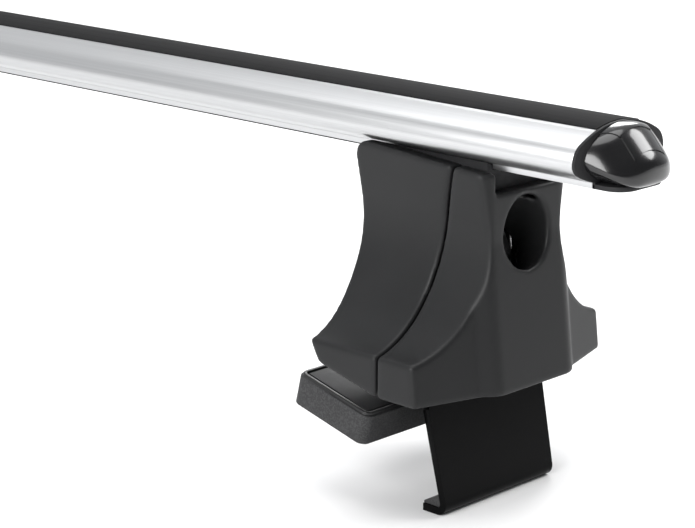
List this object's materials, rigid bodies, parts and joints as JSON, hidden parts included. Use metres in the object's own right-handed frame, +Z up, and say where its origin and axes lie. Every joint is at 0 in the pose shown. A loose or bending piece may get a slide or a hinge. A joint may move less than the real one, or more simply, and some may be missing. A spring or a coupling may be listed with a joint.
{
  "type": "roof rack crossbar",
  "caption": "Aluminium roof bar of wing-like section on two clamp feet, each with a sloped pad, a flared housing and a hook drawn in by a screw.",
  "frame": {"origin": "under the middle of the bar, on the plane of the hook lips' undersides, which the rack stands on when it is off the car", "axes": "+X along the bar, across the car; +Y across the bar, along the car; +Z up"},
  "size_m": [1.297, 0.1114, 0.1598],
  "materials": {
    "aluminium": "brushed lengthwise, clear anodised",
    "strip_rubber": "matt, fine lengthwise drawing marks",
    "cap_plastic": "moulded, glossy dome with a matt ledge",
    "housing_plastic": "moulded, finely grained",
    "saddle_rubber": "matt",
    "zinc_steel": "zinc plated",
    "coated_steel": "black coated sheet",
    "black_steel": "black coated",
    "hook_coating": "glossy black dipped coating",
    "pad_rubber": "satin"
  },
  "bodies": {
    "bar": {"crossbar_profile": "aluminium", "top_slot_strip": "strip_rubber", "lower_slot_strip": "strip_rubber", "end_cap_right": "cap_plastic", "end_cap_left": "cap_plastic"},
    "foot_right": {"foot_body_right": "housing_plastic", "front_cover_right": "housing_plastic", "bar_saddle_right": "saddle_rubber", "t_bolt_right": "zinc_steel", "t_bolt_washer_right": "zinc_steel", "t_bolt_nut_right": "zinc_steel", "inner_frame_right": "coated_steel", "fulcrum_pin_right": "zinc_steel", "screw_washer_right": "zinc_steel", "foot_pad_right": "pad_rubber"},
    "screw_right": {"clamp_screw_right": "black_steel"},
    "nut_right": {"barrel_nut_right": "zinc_steel"},
    "hook_right": {"clamp_hook_right": "hook_coating", "hook_liner_right": "pad_rubber"},
    "foot_left": {"foot_body_left": "housing_plastic", "front_cover_left": "housing_plastic", "bar_saddle_left": "saddle_rubber", "t_bolt_left": "zinc_steel", "t_bolt_washer_left": "zinc_steel", "t_bolt_nut_left": "zinc_steel", "inner_frame_left": "coated_steel", "fulcrum_pin_left": "zinc_steel", "screw_washer_left": "zinc_steel", "foot_pad_left": "pad_rubber"},
    "screw_left": {"clamp_screw_left": "black_steel"},
    "nut_left": {"barrel_nut_left": "zinc_steel"},
    "hook_left": {"clamp_hook_left": "hook_coating", "hook_liner_left": "pad_rubber"}
  },
  "joints": [
    {"name": "foot_slide_right", "type": "slide", "parent": "bar", "child": "foot_right", "axis": [1, 0, 0], "range_m": [-0.01, 0.025]},
    {"name": "screw_turn_right", "type": "hinge", "parent": "foot_right", "child": "screw_right", "pos_m": [0.5424, 0, 0.0839], "axis": [-0.866, 0, -0.5], "range_deg": [0, 2600]},
    {"name": "nut_travel_right", "type": "slide", "parent": "foot_right", "child": "nut_right", "axis": [0.866, 0, 0.5], "range_m": [0, 0.009]},
    {"name": "hook_swing_right", "type": "hinge", "parent": "nut_right", "child": "hook_right", "pos_m": [0.5424, 0, 0.0839], "axis": [0, 1, 0], "range_deg": [0, 15.18]},
    {"name": "foot_slide_left", "type": "slide", "parent": "bar", "child": "foot_left", "axis": [-1, 0, 0], "range_m": [-0.01, 0.025]},
    {"name": "screw_turn_left", "type": "hinge", "parent": "foot_left", "child": "screw_left", "pos_m": [-0.5424, 0, 0.0839], "axis": [0.866, 0, -0.5], "range_deg": [0, 2600]},
    {"name": "nut_travel_left", "type": "slide", "parent": "foot_left", "child": "nut_left", "axis": [-0.866, 0, 0.5], "range_m": [0, 0.009]},
    {"name": "hook_swing_left", "type": "hinge", "parent": "nut_left", "child": "hook_left", "pos_m": [-0.5424, 0, 0.0839], "axis": [0, -1, 0], "range_deg": [0, 15.18]}
  ],
  "couplings": [
    {"joint": "screw_turn_right", "follows": "nut_travel_right", "rad_per_m": 5026.5},
    {"joint": "hook_swing_right", "follows": "nut_travel_right", "rad_per_m": 29.142},
    {"joint": "screw_turn_left", "follows": "nut_travel_left", "rad_per_m": 5026.5},
    {"joint": "hook_swing_left", "follows": "nut_travel_left", "rad_per_m": 29.142}
  ]
}
